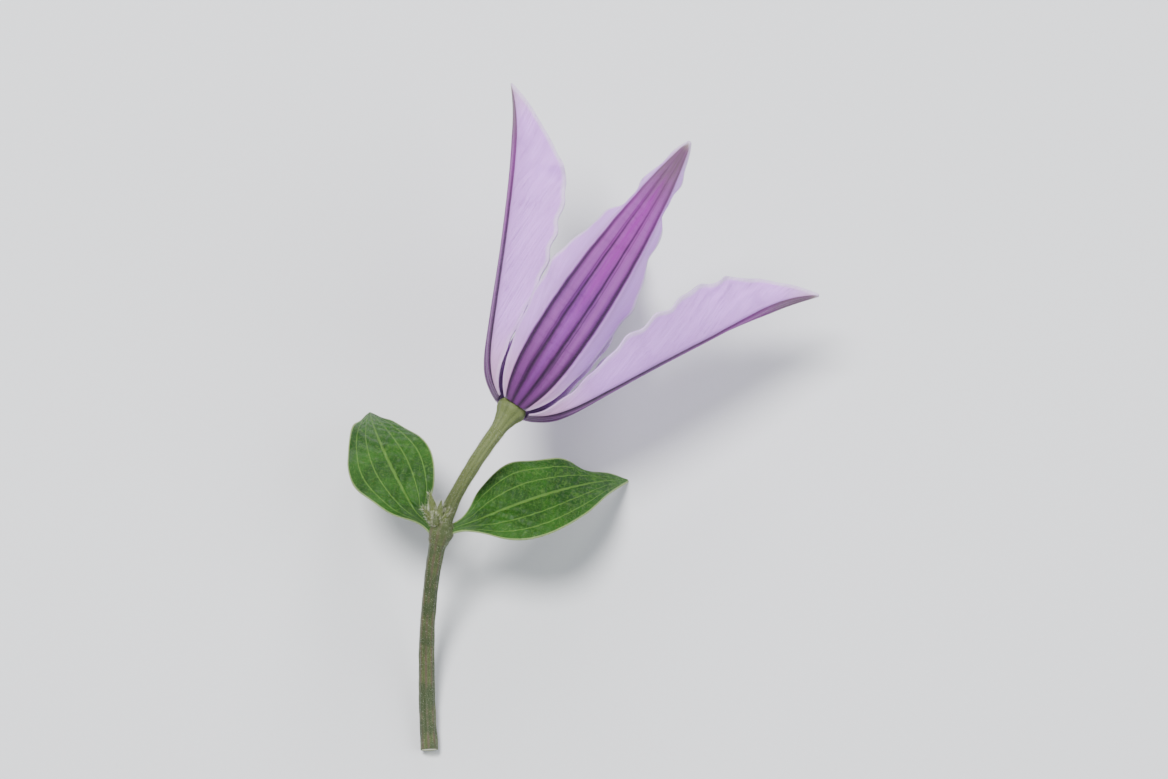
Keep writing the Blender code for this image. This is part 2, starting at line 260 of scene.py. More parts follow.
class StageSettings(bpy.types.PropertyGroup):
    floor: tint("Floor", (0.74, 0.75, 0.77), "Pale floor")
    elevation: FloatProperty(
        name="Camera elevation",
        description="How steeply the camera looks down",
        default=math.radians(68),
        subtype="ANGLE",
    )
    lens: FloatProperty(name="Lens", description="Focal length in millimetres", default=150)
    margin: FloatProperty(name="Framing margin", description="Room round the flower", default=1.06)


# ---------------------------------------------------------------- numbers and grids


def along(stations, places):
    """The values at some places on a smooth cubic curve through stations of place and value."""
    knots, values = np.array(stations, float).T
    slopes = np.gradient(values, knots)
    index = np.clip(np.searchsorted(knots, places, side="right") - 1, 0, len(knots) - 2)
    span = knots[index + 1] - knots[index]
    t = (places - knots[index]) / span
    return (
        values[index] * (1 + 2 * t) * (1 - t) ** 2
        + values[index + 1] * t**2 * (3 - 2 * t)
        + span * slopes[index] * t * (1 - t) ** 2
        - span * slopes[index + 1] * t**2 * (1 - t)
    )


def running_sum(values, steps, axis):
    """The integral of values along one axis of a grid, by the trapezium rule, from zero."""
    values = np.moveaxis(values, axis, 0)
    steps = np.moveaxis(steps, axis, 0)
    total = np.zeros_like(values)
    total[1:] = np.cumsum((values[1:] + values[:-1]) / 2 * steps, axis=0)
    return np.moveaxis(total, 0, axis)


def smooth_step(t):
    """From 0 to 1 along three t squared less two t cubed, level at both ends."""
    t = np.clip(t, 0, 1)
    return t * t * (3 - 2 * t)


def bump(x, width):
    """A bell of height 1 round zero."""
    return np.exp(-((x / width) ** 2))


def unit(vectors):
    """Vectors at a length of one."""
    return vectors / np.linalg.norm(vectors, axis=-1, keepdims=True)


def circle(count):
    """Evenly spaced angles round a circle, from zero."""
    return np.arange(count) * 2 * math.pi / count


def ripples(random, places, slowest, fastest, count=5):
    """A wandering wave: a sum of sines of random pace and start, about one high."""
    paces = random.uniform(slowest, fastest, count)
    starts = random.uniform(0, 2 * math.pi, count)
    waves = np.sin(2 * math.pi * paces[:, None] * np.ravel(places) + starts[:, None])
    return waves.sum(0).reshape(np.shape(places)) / math.sqrt(count / 2) / 1.3


def blade(outer, inner, marks):
    """The closed solid between two grids. A mark is a grid, or a pair for the outer and the inner face."""
    rows, columns = outer.shape[:2]
    number = np.arange(rows * columns).reshape(rows, columns)
    skin = np.stack((number[:-1, :-1], number[:-1, 1:], number[1:, 1:], number[1:, :-1]), -1)
    skin = skin.reshape(-1, 4)
    rim = np.concatenate((number[0], number[1:, -1], number[-1, -2::-1], number[-2:0:-1, 0]))
    far = rim + rows * columns
    edge = np.stack((np.roll(rim, -1), rim, far, np.roll(far, -1)), -1)
    points = np.concatenate((outer.reshape(-1, 3), inner.reshape(-1, 3)))
    quads = np.concatenate((skin, skin[:, ::-1] + rows * columns, edge))
    closed = {}
    for key, given in marks.items():
        pair = given if isinstance(given, tuple) else (given, given)
        closed[key] = np.concatenate([np.broadcast_to(grid, (rows, columns)).ravel() for grid in pair])
    return points, quads, np.zeros((0, 3), int), closed


def rings(path, widths, depths, sides, upright):
    """A ring round each path point, square to the path: width to the side and depth up, by the angle."""
    tangent = unit(np.gradient(path, axis=0))
    side = unit(np.cross(tangent, np.broadcast_to(upright, path.shape)))
    top = np.cross(side, tangent)
    angle = circle(sides)
    width = np.broadcast_to(np.reshape(widths, (len(path), -1)), (len(path), sides))
    depth = np.broadcast_to(np.reshape(depths, (len(path), -1)), (len(path), sides))
    across = (width * np.cos(angle))[..., None] * side[:, None]
    up = (depth * np.sin(angle))[..., None] * top[:, None]
    return path[:, None] + across + up


def bar(ringed, marks):
    """The closed solid of a stack of rings, with a point in the middle of each end."""
    count, sides = ringed.shape[:2]
    number = np.arange(count * sides).reshape(count, sides)
    following = np.roll(number, -1, axis=1)
    quads = np.stack((number[1:], following[1:], following[:-1], number[:-1]), -1).reshape(-1, 4)
    ends = ringed[[0, -1]].mean(axis=1)
    points = np.concatenate((ringed.reshape(-1, 3), ends))
    first = np.full(sides, count * sides)
    triangles = np.concatenate(
        (
            np.stack((number[0], following[0], first), -1),
            np.stack((following[-1], number[-1], first + 1), -1),
        )
    )
    closed = {}
    for key, grid in marks.items():
        grid = np.broadcast_to(grid, (count, sides))
        closed[key] = np.concatenate((grid.ravel(), grid[[0, -1]].mean(axis=1)))
    return points, quads, triangles, closed


def hairs(roots, directions, lengths, thickness):
    """A thin three-sided spike at each root, with a second ring half way and a point at its end."""
    count = len(roots)
    directions = unit(directions)
    lengths = np.reshape(lengths, (-1, 1))
    helper = np.where(np.abs(directions[:, 2:]) < 0.9, (0, 0, 1), (1, 0, 0))
    side = unit(np.cross(directions, helper))
    top = np.cross(side, directions)
    angle = circle(3)
    ring = side[:, None] * np.cos(angle)[:, None] + top[:, None] * np.sin(angle)[:, None]
    middle = roots + directions * lengths * 0.5
    tip = roots + directions * lengths
    points = np.concatenate(
        (roots[:, None] + ring * thickness, middle[:, None] + ring * thickness * 0.7, tip[:, None]), axis=1
    )
    start = (np.arange(count) * 7)[:, None]
    quads = np.concatenate([start + np.array(q) for q in ((3, 4, 1, 0), (4, 5, 2, 1), (5, 3, 0, 2))])
    triangles = np.concatenate([start + np.array(t) for t in ((6, 4, 3), (6, 5, 4), (6, 3, 5), (0, 1, 2))])
    return points.reshape(-1, 3), quads, triangles, {}


def joined(solids):
    """Several solids as one."""
    points, quads, triangles, marks, start = [], [], [], {}, 0
    for p, q, t, m in solids:
        points.append(p)
        quads.append(q + start)
        triangles.append(t + start)
        for key, values in m.items():
            marks.setdefault(key, []).append(values)
        start += len(p)
    marks = {key: np.concatenate(values) for key, values in marks.items()}
    return np.concatenate(points), np.concatenate(quads), np.concatenate(triangles), marks


# ---------------------------------------------------------------- placing


def head_axes():
    """The flower's +X, +Y and +Z in the row frame, as the columns of a matrix."""
    level = math.cos(PITCH)
    axis = Vector((math.sin(HEADING) * level, math.cos(HEADING) * level, math.sin(PITCH)))
    sideways = axis.cross(Vector((0, 0, 1))).normalized()
    top = Matrix.Rotation(ROLL, 3, axis) @ sideways.cross(axis)
    return np.array(Matrix((top, axis.cross(top), axis)).transposed())


def receptacle_profile(rows):
    """A path along the flower's axis through the receptacle, its radii, and shares of the way along."""
    heights, radii = np.array(RECEPTACLE_STATIONS).T
    places = np.linspace(0, 1, rows)
    stations = np.linspace(0, 1, len(heights))
    height = np.interp(places, stations, heights) * MM
    radius = np.interp(places, stations, radii) * MM
    path = np.stack((0 * height, 0 * height, height), -1)
    return path, radius, places


def head_base():
    """Where the flower's origin is: the receptacle's CAD box is matched with that of its turned profile."""
    path, radius, _ = receptacle_profile(200)
    on_part = path[:, 2] > RECEPTACLE_FOOT
    path, radius = path[on_part], radius[on_part]
    profile = rings(path, radius, radius, 90, (1, 0, 0)).reshape(-1, 3) @ head_axes().T
    low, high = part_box("receptacle")
    return (np.array(low) + np.array(high)) / 2 - (profile.min(0) + profile.max(0)) / 2


AXES = head_axes()
BASE = head_base()


def from_head(solid, turn=0.0):
    """A solid from the flower's frame, turned about its axis by some radians, to the row frame."""
    points, quads, triangles, marks = solid
    c, s = math.cos(turn), math.sin(turn)
    spun = points @ np.array(((c, s, 0), (-s, c, 0), (0, 0, 1)))
    return spun @ AXES.T + BASE, quads, triangles, marks


def add_piece(name, solid, material, slot, *nodes):
    """A mesh object from a solid in the row frame, which rides on the part and stands for CAD nodes."""
    points, quads, triangles, marks = solid
    points = points.copy()
    points[:, 2] = np.maximum(points[:, 2], FLOOR_CLEARANCE)
    mesh = bpy.data.meshes.new(name)
    corners = np.concatenate((quads.ravel(), triangles.ravel())).astype(np.int32)
    starts = np.concatenate((np.arange(len(quads)) * 4, len(quads) * 4 + np.arange(len(triangles)) * 3))
    mesh.vertices.add(len(points))
    mesh.vertices.foreach_set("co", points.astype(np.float32).ravel())
    mesh.loops.add(len(corners))
    mesh.loops.foreach_set("vertex_index", corners)
    mesh.polygons.add(len(starts))
    mesh.polygons.foreach_set("loop_start", starts.astype(np.int32))
    mesh.update(calc_edges=True)
    for key, values in marks.items():
        mesh.attributes.new(key, "FLOAT", "POINT").data.foreach_set("value", values.astype(np.float32))
    mesh.shade_smooth()
    mesh.materials.append(material)
    piece = bpy.data.objects.new(name, mesh)
    bpy.context.scene.collection.objects.link(piece)
    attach(piece, BODY)
    if nodes:
        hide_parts(*nodes)
    return piece


# ---------------------------------------------------------------- shader helpers


def node(tree, kind, inputs=None, **settings):
    """A shader node with its settings; inputs are numbers, colours or sockets by name or number."""
    made = tree.nodes.new(kind)
    for key, value in settings.items():
        setattr(made, key, value)
    for key, value in (inputs or {}).items():
        if isinstance(value, bpy.types.NodeSocket):
            tree.links.new(value, made.inputs[key])
        else:
            wanted = made.inputs[key]
            wanted.default_value = (*value, 1) if wanted.type == "RGBA" and len(value) == 3 else value
    return made


def maths(tree, operation, a, b=0.0, clamp=False):
    """One sum of two numbers or sockets."""
    return node(tree, "ShaderNodeMath", {0: a, 1: b}, operation=operation, use_clamp=clamp).outputs[0]


def times(tree, a, b, clamp=False):
    return maths(tree, "MULTIPLY", a, b, clamp)


def plus(tree, a, b, clamp=False):
    return maths(tree, "ADD", a, b, clamp)


def mixed(tree, factor, a, b, blend="MIX"):
    """One colour over another by a factor."""
    made = node(tree, "ShaderNodeMix", {0: factor, 6: a, 7: b}, data_type="RGBA", blend_type=blend)
    return made.outputs[2]


def between(tree, value, low, high, start=0.0, end=1.0):
    """A smooth ramp from start to end as a value goes from low to high."""
    inputs = {"Value": value, "From Min": low, "From Max": high, "To Min": start, "To Max": end}
    return node(tree, "ShaderNodeMapRange", inputs, interpolation_type="SMOOTHSTEP").outputs[0]


def stripe(tree, value, centre, width):
    """One where a value is at the centre, falling smoothly to nothing at the width on both sides."""
    return between(tree, maths(tree, "ABSOLUTE", maths(tree, "SUBTRACT", value, centre)), width, 0.0)


def mark(tree, name):
    """A number stored on the piece's points."""
    return node(tree, "ShaderNodeAttribute", attribute_name=name).outputs["Fac"]


def noise(tree, vector, scale, detail=3.0, roughness=0.55):
    """Cloudy noise at a place, from 0 to 1."""
    inputs = {"Vector": vector, "Scale": scale, "Detail": detail, "Roughness": roughness}
    return node(tree, "ShaderNodeTexNoise", inputs).outputs[0]


def place(tree):
    """The place on the piece, in metres."""
    return node(tree, "ShaderNodeTexCoord").outputs["Object"]


def vector(tree, x, y):
    """Two numbers as a place for noise."""
    return node(tree, "ShaderNodeCombineXYZ", {0: x, 1: y}).outputs[0]


def colour_along(tree, value, stops):
    """A colour ramp through stops of place and colour."""
    ramp = node(tree, "ShaderNodeValToRGB", {0: value})
    elements = ramp.color_ramp.elements
    elements[0].position, elements[0].color = stops[0][0], (*stops[0][1], 1)
    elements[1].position, elements[1].color = stops[-1][0], (*stops[-1][1], 1)
    for position, colour in stops[1:-1]:
        elements.new(position).color = (*colour, 1)
    return ramp.outputs[0]


def new_material(name, roughness, **uniform):
    """A material with a Principled BSDF whose uniform inputs are set on the shader itself."""
    material = bpy.data.materials.new(name)
    material.use_nodes = True
    shader = material.node_tree.nodes["Principled BSDF"]
    shader.inputs["Roughness"].default_value = roughness
    for key, value in uniform.items():
        shader.inputs[key.replace("_", " ")].default_value = value
    return material, material.node_tree, shader


def relief(tree, shader, height, distance, strength=1.0):
    """Height in 0 to 1 becomes a bump of a distance in metres."""
    inputs = {"Height": height, "Distance": distance, "Strength": strength}
    made = node(tree, "ShaderNodeBump", inputs)
    tree.links.new(made.outputs[0], shader.inputs["Normal"])


def group_ends(name, inputs, outputs):
    """A new node group with sockets of some name and kind, and its own input and output sockets."""
    group = bpy.data.node_groups.new(name, "ShaderNodeTree")
    for way, sockets in (("INPUT", inputs), ("OUTPUT", outputs)):
        for label, kind in sockets:
            group.interface.new_socket(label, in_out=way, socket_type="NodeSocket" + kind)
    return group, group.nodes.new("NodeGroupInput").outputs, group.nodes.new("NodeGroupOutput").inputs


def tissue_group():
    """Fine plant tissue, used by tepals, leaves and stalk: cells, and patches of lighter colour."""
    sizes = (("Position", "Vector"), ("Cell Scale", "Float"), ("Patch Scale", "Float"))
    group, given, wanted = group_ends("plant_tissue", sizes, (("Cells", "Float"), ("Patches", "Float")))
    group.links.new(noise(group, given[0], given[1], 4, 0.65), wanted[0])
    group.links.new(noise(group, given[0], given[2], 3, 0.5), wanted[1])
    return group


def down_group():
    """A bloom of pale down over a colour, used by every hairy part."""
    parts = (("Position", "Vector"), ("Colour", "Color"), ("Down Colour", "Color"), ("Amount", "Float"))
    group, given, wanted = group_ends("pale_down", parts, (("Colour", "Color"), ("Mask", "Float")))
    fibres = noise(group, given[0], 5200, 5, 0.75)
    mask = times(group, between(group, fibres, 0.36, 0.62), given[3], clamp=True)
    group.links.new(mixed(group, mask, given[1], given[2]), wanted[0])
    group.links.new(mask, wanted[1])
    return group


def grouped(tree, name, make, *inputs):
    """The two outputs of a shared node group, made the first time it is asked for."""
    group = bpy.data.node_groups.get(name) or make()
    made = node(tree, "ShaderNodeGroup", node_tree=group)
    for socket, value in zip(made.inputs, inputs):
        if isinstance(value, bpy.types.NodeSocket):
            tree.links.new(value, socket)
        else:
            socket.default_value = value
    return made.outputs[0], made.outputs[1]


def tissue(tree, position, cells, patches):
    """Cells and patches at two scales, both from 0 to 1."""
    return grouped(tree, "plant_tissue", tissue_group, position, cells, patches)


def downy(tree, position, colour, down_colour, amount):
    """A colour with down over it, and where the down is."""
    return grouped(tree, "pale_down", down_group, position, colour, (*down_colour, 1), amount)


# ---------------------------------------------------------------- tepals


def tepal_solid(settings, length_share, spread, twists, wings, seed):
    """A tepal in the flower's frame, on its +X side: a band with a wing bent in along each edge.

    The midrib leans away from the axis by an angle set along its length. Across it the surface turns
    inwards by the wing's bend, mostly where the band ends and the wing begins, and rolls back a
    little at the edge. The three ribs are the size of a cosine across the band, and the wings' edges
    wave by a wandering sine that grows with the square of the way out.
    """
    random = np.random.default_rng(seed)
    s = np.linspace(0, 1, settings.rows)
    fine = np.linspace(0, 1, 4 * settings.rows)
    fine_lean = np.radians(along(TEPAL_LEANS, fine)) * (1 + (spread - 1) * smooth_step(fine * 5))
    step = np.full(len(fine) - 1, settings.length * length_share / (len(fine) - 1))
    out = np.interp(s, fine, TEPAL_FOOT_RADIUS + running_sum(np.sin(fine_lean), step, 0))
    rise = np.interp(s, fine, running_sum(np.cos(fine_lean), step, 0))
    lean = np.interp(s, fine, fine_lean)[:, None]

    v = np.linspace(-1, 1, settings.columns)[None, :]
    left = (v < 0).astype(float)
    band = along(BAND_HALF_WIDTHS, s)[:, None] * MM
    wing = along(WING_WIDTHS, s)[:, None] * MM
    before_tip = smooth_step(6 * (1 - s))[:, None]
    notches = [1 + 0.035 * ripples(random, s, 3, 11)[:, None] * before_tip for _ in "lr"]
    half = band + wing * (notches[0] * wings[0] * left + notches[1] * wings[1] * (1 - left))
    reach = np.abs(v) * half
    out_on_wing = np.clip((reach - band) / np.maximum(half - band, 1e-9), 0, 1)

    bend = np.radians(along(WING_BENDS, s))[:, None]
    turn = bend * smooth_step((reach / band - BEND_START) / (BEND_END - BEND_START))
    flare = smooth_step((s[:, None] - 0.25) * 5) * smooth_step((0.8 - s[:, None]) * 4)
    turn = turn - EDGE_FLARE * out_on_wing**3 * flare
    steps = np.broadcast_to((half[:, 1:] + half[:, :-1]) / 2 * (v[0, 1] - v[0, 0]), (len(s), v.size - 1))
    middle = v.size // 2
    across = running_sum(np.cos(turn), steps, 1)
    depth = running_sum(np.sin(turn) * np.sign(v), steps, 1)
    across = across - across[:, middle : middle + 1]
    depth = depth - depth[:, middle : middle + 1]
    roll = np.radians(along(twists, s))[:, None]
    across, depth = (
        across * np.cos(roll) - depth * np.sin(roll),
        across * np.sin(roll) + depth * np.cos(roll),
    )
    facing = turn * np.sign(v) + roll
    outwards, sideways = np.cos(facing), np.sin(facing)

    gentle = 0.22 * smooth_step((s - 0.2) * 4) * smooth_step((1 - s) * 7)
    envelope = (gentle + bump(s - CRINKLE_PLACE, 0.09))[:, None]
    waves = [ripples(random, s, 2, 6)[:, None] + 0.35 * ripples(random, s, 8, 15)[:, None] for _ in "lr"]
    wave = (waves[0] * left + waves[1] * (1 - left)) * envelope * out_on_wing**2 * settings.ripple
    puckers = ripples(random, s[:, None] * 9 - out_on_wing * 3 + left * 5, 0.6, 1.6)
    wave = wave + puckers * 0.10 * MM * out_on_wing * envelope

    across_band = reach / band
    fade = (smooth_step(s * 9) * smooth_step((1 - s) * 5))[:, None]
    ridges = np.abs(np.cos(1.5 * math.pi * np.minimum(across_band, 1))) ** 0.5
    crest = np.where(across_band < 1, ridges, 0) * (1 - 0.2 * bump(across_band, 0.33))
    crest = crest + 0.10 * np.cos(across_band * 24) * (across_band < 1)
    shoulder = bump(across_band - 1.22, 0.13) * 0.4
    ribs = (crest + shoulder) * fade * settings.rib_height * np.minimum(1, band / (2.2 * MM))

    thickness = settings.margin_thickness
    thickness = thickness + (settings.band_thickness - thickness) * (1 - np.abs(v) ** 1.3)
    thickness = thickness * (1 - 0.45 * s[:, None] ** 8)

    def placed(lift):
        """The surface raised outwards by a lift, from places across and into the tepal."""
        a = across + lift * sideways
        d = depth - lift * outwards
        return np.stack((out[:, None] - d * np.cos(lean), a, rise[:, None] + d * np.sin(lean)), -1)

    outer = placed(wave + ribs)
    inner = placed(wave + ribs * 0.35 - thickness)
    fan = (s[:, None] * settings.length - out_on_wing * (half - band) * 2.2) / MM
    edge = (half - reach) / MM
    marks = {
        "lengthways": s[:, None],
        "across_band": np.sign(v) * across_band,
        "on_wing": out_on_wing,
        "fan": fan + 100 * left,
        "edge": edge,
        "inside": (0, 1),
    }
    return blade(outer, inner, marks)


def tepal_material(settings):
    """Pale veined wings and a dark ribbed band outside with painted shade in its grooves, purple inside with
    painted shade deep in the bell, and a felted edge.
    """
    material, tree, shader = new_material(
        "tepal_skin",
        0.55,
        Subsurface_Weight=0.18,
        Subsurface_Scale=0.0012,
        Sheen_Weight=0.04,
        Sheen_Roughness=0.5,
        Specular_IOR_Level=0.25,
    )
    shader.inputs["Subsurface Radius"].default_value = (1.0, 0.55, 0.9)
    position = place(tree)
    lengthways, across, wing = mark(tree, "lengthways"), mark(tree, "across_band"), mark(tree, "on_wing")
    cells, patches = tissue(tree, position, 2600, 210)

    # Streaks: veins fan out of the band over the wings, and fine lines run along the band.
    fan = noise(tree, vector(tree, mark(tree, "fan"), 0.5), 1.1, 4, 0.7)
    lines = noise(tree, vector(tree, across, times(tree, lengthways, 1.4)), 9, 3, 0.6)
    veins = between(tree, fan, 0.42, 0.60)
    web_place = vector(tree, times(tree, mark(tree, "fan"), 2.3), times(tree, lengthways, 5))
    web = stripe(tree, noise(tree, web_place, 1.0, 2, 0.5), 0.5, 0.022)

    # Outside of the wings.
    wing_colour = mixed(tree, between(tree, wing, 0.0, 0.5), settings.wing_shade, settings.wing)
    between_veins = maths(tree, "SUBTRACT", 1.0, veins)
    wing_colour = mixed(tree, times(tree, between_veins, 0.22), wing_colour, settings.wing_shade)
    wing_colour = mixed(tree, times(tree, web, 0.30), wing_colour, settings.wing_shade)
    wing_colour = mixed(tree, times(tree, patches, 0.10), wing_colour, settings.margin)
    flush = between(tree, lengthways, 0.26, 0.04, 0.0, 0.7)
    wing_colour = mixed(tree, flush, wing_colour, settings.foot)
    dusk = times(tree, between(tree, lengthways, 0.86, 0.99), 0.5)
    wing_colour = mixed(tree, dusk, wing_colour, settings.point)

    # Outside of the band: three ribs with painted shade in the grooves between them, purple, with a dusky end
    # and a pale point.
    away = maths(tree, "ABSOLUTE", across)
    wobble = noise(tree, vector(tree, times(tree, lengthways, 14), across), 1, 2)
    away = plus(tree, away, times(tree, maths(tree, "SUBTRACT", wobble, 0.5), 0.07))
    end = plus(tree, lengthways, times(tree, maths(tree, "SUBTRACT", lines, 0.5), 0.10))
    band_colour = colour_along(
        tree,
        end,
        (
            (0.0, settings.band_base),
            (0.16, settings.band_base),
            (0.42, settings.band_middle),
            (0.60, settings.band_bright),
            (0.74, settings.band_bright),
            (0.88, settings.band_tip),
            (0.97, settings.band_tip),
            (1.0, settings.point),
        ),
    )
    live = between(tree, end, 0.92, 0.74)
    heart = times(tree, stripe(tree, away, 0.0, 0.30), live)
    heart_colour = mixed(tree, between(tree, end, 0.25, 0.55), settings.heart_tint, settings.heart_bright)
    band_colour = mixed(tree, times(tree, heart, 0.85), band_colour, heart_colour)
    side_rib = stripe(tree, away, 0.68, 0.30)
    side_rib = times(tree, side_rib, between(tree, end, 0.92, 0.70, 0.15, 0.85))
    band_colour = mixed(tree, side_rib, band_colour, settings.rib_tint)
    fine = times(tree, between(tree, lines, 0.40, 0.66), 0.35)
    band_colour = mixed(tree, fine, band_colour, settings.rib_tint)
    near_foot = between(tree, lengthways, 0.36, 0.05, 0.0, 0.6)
    band_colour = mixed(tree, near_foot, band_colour, settings.band_base)
    # Painted shade: dark lines in the grooves between the ribs and at the band's edge, wider towards the foot,
    # over the grooves' own darker purple.
    wide = between(tree, lengthways, 0.35, 0.08, 0.10, 0.17)
    off = maths(tree, "ABSOLUTE", maths(tree, "SUBTRACT", away, 0.34))
    line = maths(tree, "MAXIMUM", between(tree, off, wide, 0.0), stripe(tree, away, 1.0, 0.17))
    line = maths(tree, "MAXIMUM", line, times(tree, stripe(tree, away, 0.47, 0.05), 0.5))
    line = times(tree, line, between(tree, lengthways, 0.95, 0.55, 0.12, 0.85))
    band_colour = mixed(tree, line, band_colour, settings.groove)
    on_band = between(tree, away, 1.16, 1.06)
    outside = mixed(tree, on_band, wing_colour, band_colour)

    # Inside: purple down the middle with three fine lines, pale wings, and painted shade deep in the bell.
    inside = mixed(tree, between(tree, away, 0.3, 1.8), settings.inside_middle, settings.inside_wing)
    inner_line = maths(tree, "MAXIMUM", stripe(tree, away, 0.34, 0.08), stripe(tree, away, 1.0, 0.10))
    inside = mixed(tree, times(tree, inner_line, 0.5), inside, settings.groove)
    inside = mixed(tree, times(tree, between_veins, 0.3), inside, settings.inside_middle)
    rim = between(tree, mark(tree, "edge"), 4.0, 0.6, 0.0, 0.55)
    rim = times(tree, rim, between(tree, lengthways, 0.3, 0.6))
    inside = mixed(tree, rim, inside, settings.wing)
    # Painted shade: the inner face darkens towards the foot, deep in the bell.
    painted_throat_shade = between(tree, lengthways, 0.38, 0.02, 0.0, 0.85)
    inside = mixed(tree, painted_throat_shade, inside, settings.painted_throat_shade)
    colour = mixed(tree, mark(tree, "inside"), outside, inside)

    # Felt: a dense pale edge, and a thin bloom all over.
    felt_edge = between(tree, mark(tree, "edge"), 1.15, 0.25)
    felt_edge = times(tree, felt_edge, between(tree, lengthways, 0.2, 0.5, 0.25, 1.0))
    bloom = maths(tree, "SUBTRACT", 0.06, times(tree, on_band, 0.05))
    amount = plus(tree, felt_edge, bloom, clamp=True)
    colour, down = downy(tree, position, colour, settings.margin, amount)
    colour = mixed(tree, times(tree, felt_edge, 0.55), colour, settings.margin)
    tree.links.new(colour, shader.inputs["Base Color"])

    rough = plus(tree, times(tree, cells, 0.22), 0.42)
    rough = plus(tree, rough, times(tree, down, 0.3), clamp=True)
    tree.links.new(rough, shader.inputs["Roughness"])
    height = plus(tree, times(tree, cells, 0.35), times(tree, fan, 0.5))
    height = plus(tree, height, times(tree, lines, 0.4))
    height = plus(tree, height, times(tree, web, 0.35))
    height = plus(tree, height, times(tree, down, 0.3))
    relief(tree, shader, height, 0.16 * MM, 0.8)
    return material


class CLEMATIS_OT_tepals(bpy.types.Operator):
    """Make the four tepals"""

    bl_idname = "clematis.tepals"
    bl_label = "Tepals"

    def execute(self, context):
        settings = context.scene.clematis_tepals
        material = tepal_material(settings)
        for seed, (name, cad_node, turn, *shape) in enumerate(TEPALS):
            solid = tepal_solid(settings, *shape, seed + 3)
            add_piece(name, from_head(solid, math.radians(turn)), material, "tepal", cad_node)
        return {"FINISHED"}


# ---------------------------------------------------------------- the flower's centre


def receptacle_solid():
    """The stalk's swollen end, turned about the axis, with eight shallow ribs that fade towards the dome."""
    rows, sides = RECEPTACLE_GRID
    path, radius, places = receptacle_profile(rows)
    round_ribs = np.cos(STALK_RIBS * circle(sides))[None, :]
    ribbing = 1 + 0.05 * round_ribs * smooth_step((0.6 - places) * 3)[:, None]
    ringed = rings(path, radius[:, None] * ribbing, radius[:, None] * ribbing, sides, (1, 0, 0))
    return bar(ringed, {"lengthways": places[:, None], "round": round_ribs})


def stamen_solid(random, foot_radius, foot_height, tip_radius, length):
    """A stamen on the +X side: a flat ribbon for a filament, then an anther of two long pollen sacs.

    Its ring is an ellipse whose width and depth are set along its length; along the anther the
    depth dips in the middle, so that the two sacs stand apart.
    """
    s = np.linspace(0, 1, STAMEN_GRID[0])
    length = length * random.uniform(0.93, 1.03)
    lean = random.uniform(-0.25, 0.35) * s**2
    out = foot_radius + (tip_radius - foot_radius) * (1 - (1 - s) ** 2) + lean
    aside = random.uniform(-0.35, 0.35) * s**2
    path = np.stack((out, aside, foot_height + length * s), -1) * MM
    angle = circle(STAMEN_GRID[1])
    anther = smooth_step((s - 0.56) * 16) * smooth_step((0.97 - s) * 16)
    waist = 1 - 0.5 * anther[:, None] * bump(np.cos(angle), 0.34)[None, :]
    width = along(STAMEN_HALF_WIDTHS, s)[:, None] * MM
    depth = along(STAMEN_HALF_DEPTHS, s)[:, None] * MM * waist
    grain = 1 + 0.06 * anther[:, None] * random.uniform(-1, 1, (len(s), len(angle)))
    ringed = rings(path, width * grain, depth * grain, len(angle), (1, 0, 0))
    marks = {"lengthways": s[:, None], "anther": anther[:, None], "waist": waist}
    return path, bar(ringed, marks)


def stamen_hairs(random, path):
    """Short silky hairs along both edges of a filament, pointing forwards and out."""
    s = random.uniform(0.12, 0.62, STAMEN_HAIRS)
    index = (s * (len(path) - 1)).astype(int)
    side = np.where(random.random(STAMEN_HAIRS) < 0.5, -1.0, 1.0)
    roots = path[index] + np.stack((0 * s, side * 0.24 * MM, 0 * s), -1)
    aim = np.stack((random.uniform(-0.4, 0.7, STAMEN_HAIRS), side * 0.8, 1 + 0 * s), -1)
    lengths = random.uniform(0.5, 1.1, STAMEN_HAIRS) * MM
    return hairs(roots, aim, lengths, STAMEN_HAIR_RADIUS)


def style_solids(settings):
    """The styles: thin bars on a spiral over the dome, each on its seed, bowed and of its own length."""
    random = np.random.default_rng(41)
    bars, silk = [], []
    for k in range(settings.styles):
        way_out = math.sqrt((k + 0.5) / settings.styles)
        turn = k * GOLDEN_ANGLE
        foot, tip = 1.0 * way_out, 1.0 * way_out + random.uniform(0.0, 0.5)
        s = np.linspace(0, 1, STYLE_GRID[0])
        radius = foot + (tip - foot) * s**1.5 + 0.35 * np.sin(math.pi * s) * way_out
        bow = turn + random.uniform(-0.5, 0.5) * s**2
        length = random.uniform(10.8, 12.6) - 1.6 * way_out
        height = 3.35 + 0.4 * (1 - way_out) + length * s
        path = np.stack((radius * np.cos(bow), radius * np.sin(bow), height), -1) * MM
        thick = (0.13 + 0.2 * bump(s - 0.07, 0.07) - 0.06 * s + 0.05 * bump(s - 1, 0.05)) * MM
        ringed = rings(path, thick, thick, STYLE_GRID[1], (1, 0, 0))
        bars.append(bar(ringed, {"lengthways": s[:, None]}))
        at = random.uniform(0.05, 0.9, STYLE_HAIRS)
        index = (at * (len(path) - 1)).astype(int)
        around = random.uniform(0, 2 * math.pi, STYLE_HAIRS)
        aim = np.stack((np.cos(around) * 0.55, np.sin(around) * 0.55, 1 + 0 * at), -1)
        lengths = random.uniform(0.9, 1.9, STYLE_HAIRS) * MM
        silk.append(hairs(path[index], aim, lengths, SILK_RADIUS))
    return joined(bars), joined(silk)


